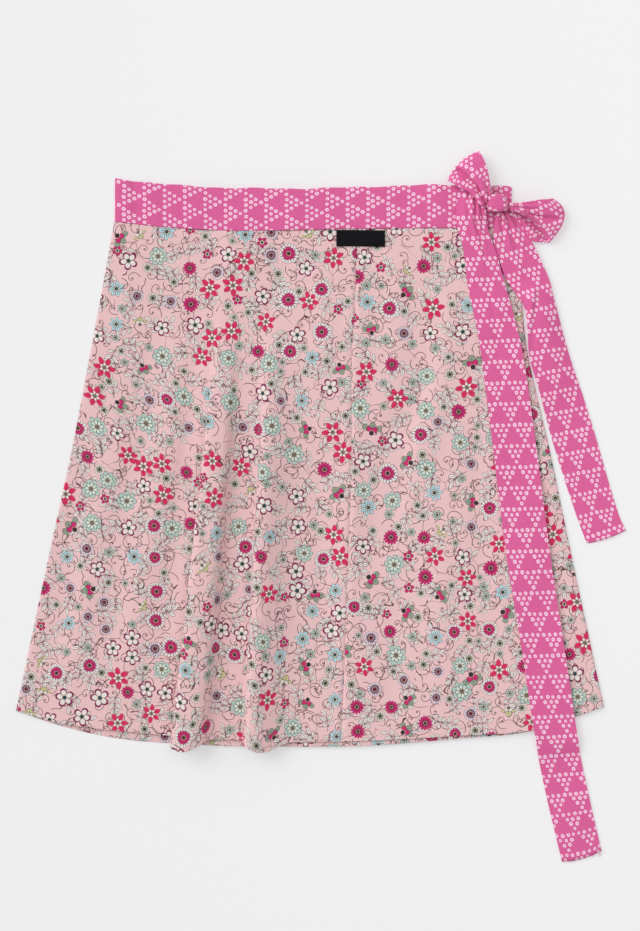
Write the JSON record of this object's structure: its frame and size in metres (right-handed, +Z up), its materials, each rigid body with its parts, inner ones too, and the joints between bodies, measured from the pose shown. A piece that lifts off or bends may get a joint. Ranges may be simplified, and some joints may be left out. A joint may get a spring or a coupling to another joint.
{
  "type": "wrap skirt",
  "caption": "A-line wrap skirt lying flat, its front overlapping an underlap, with a contrasting waistband, a blank label under the waist and ties knotted in a side bow.",
  "frame": {"origin": "bottom centre of the skirt's box, on the surface the skirt lies on", "axes": "+Z up from that surface, +Y from the hem towards the waist, +X across the front towards the bow"},
  "size_m": [0.616, 0.7179, 0.0188],
  "materials": {
    "floral_cotton": "matt printed cotton, small flowers and vines on a pale pink ground",
    "dotted_cotton": "matt printed cotton, triangles of small pale rings on a bright pink ground",
    "label_weave": "close woven black ribbon, blank"
  },
  "bodies": {
    "root": {"back_panel": "floral_cotton", "underlap_front": "floral_cotton", "outer_front_left": "floral_cotton", "outer_front_right": "floral_cotton", "waistband": "dotted_cotton", "label_patch": "label_weave", "tie_long": "dotted_cotton", "tie_short": "dotted_cotton", "bow_loop_upper": "dotted_cotton", "bow_loop_side": "dotted_cotton", "knot": "dotted_cotton"}
  },
  "joints": []
}
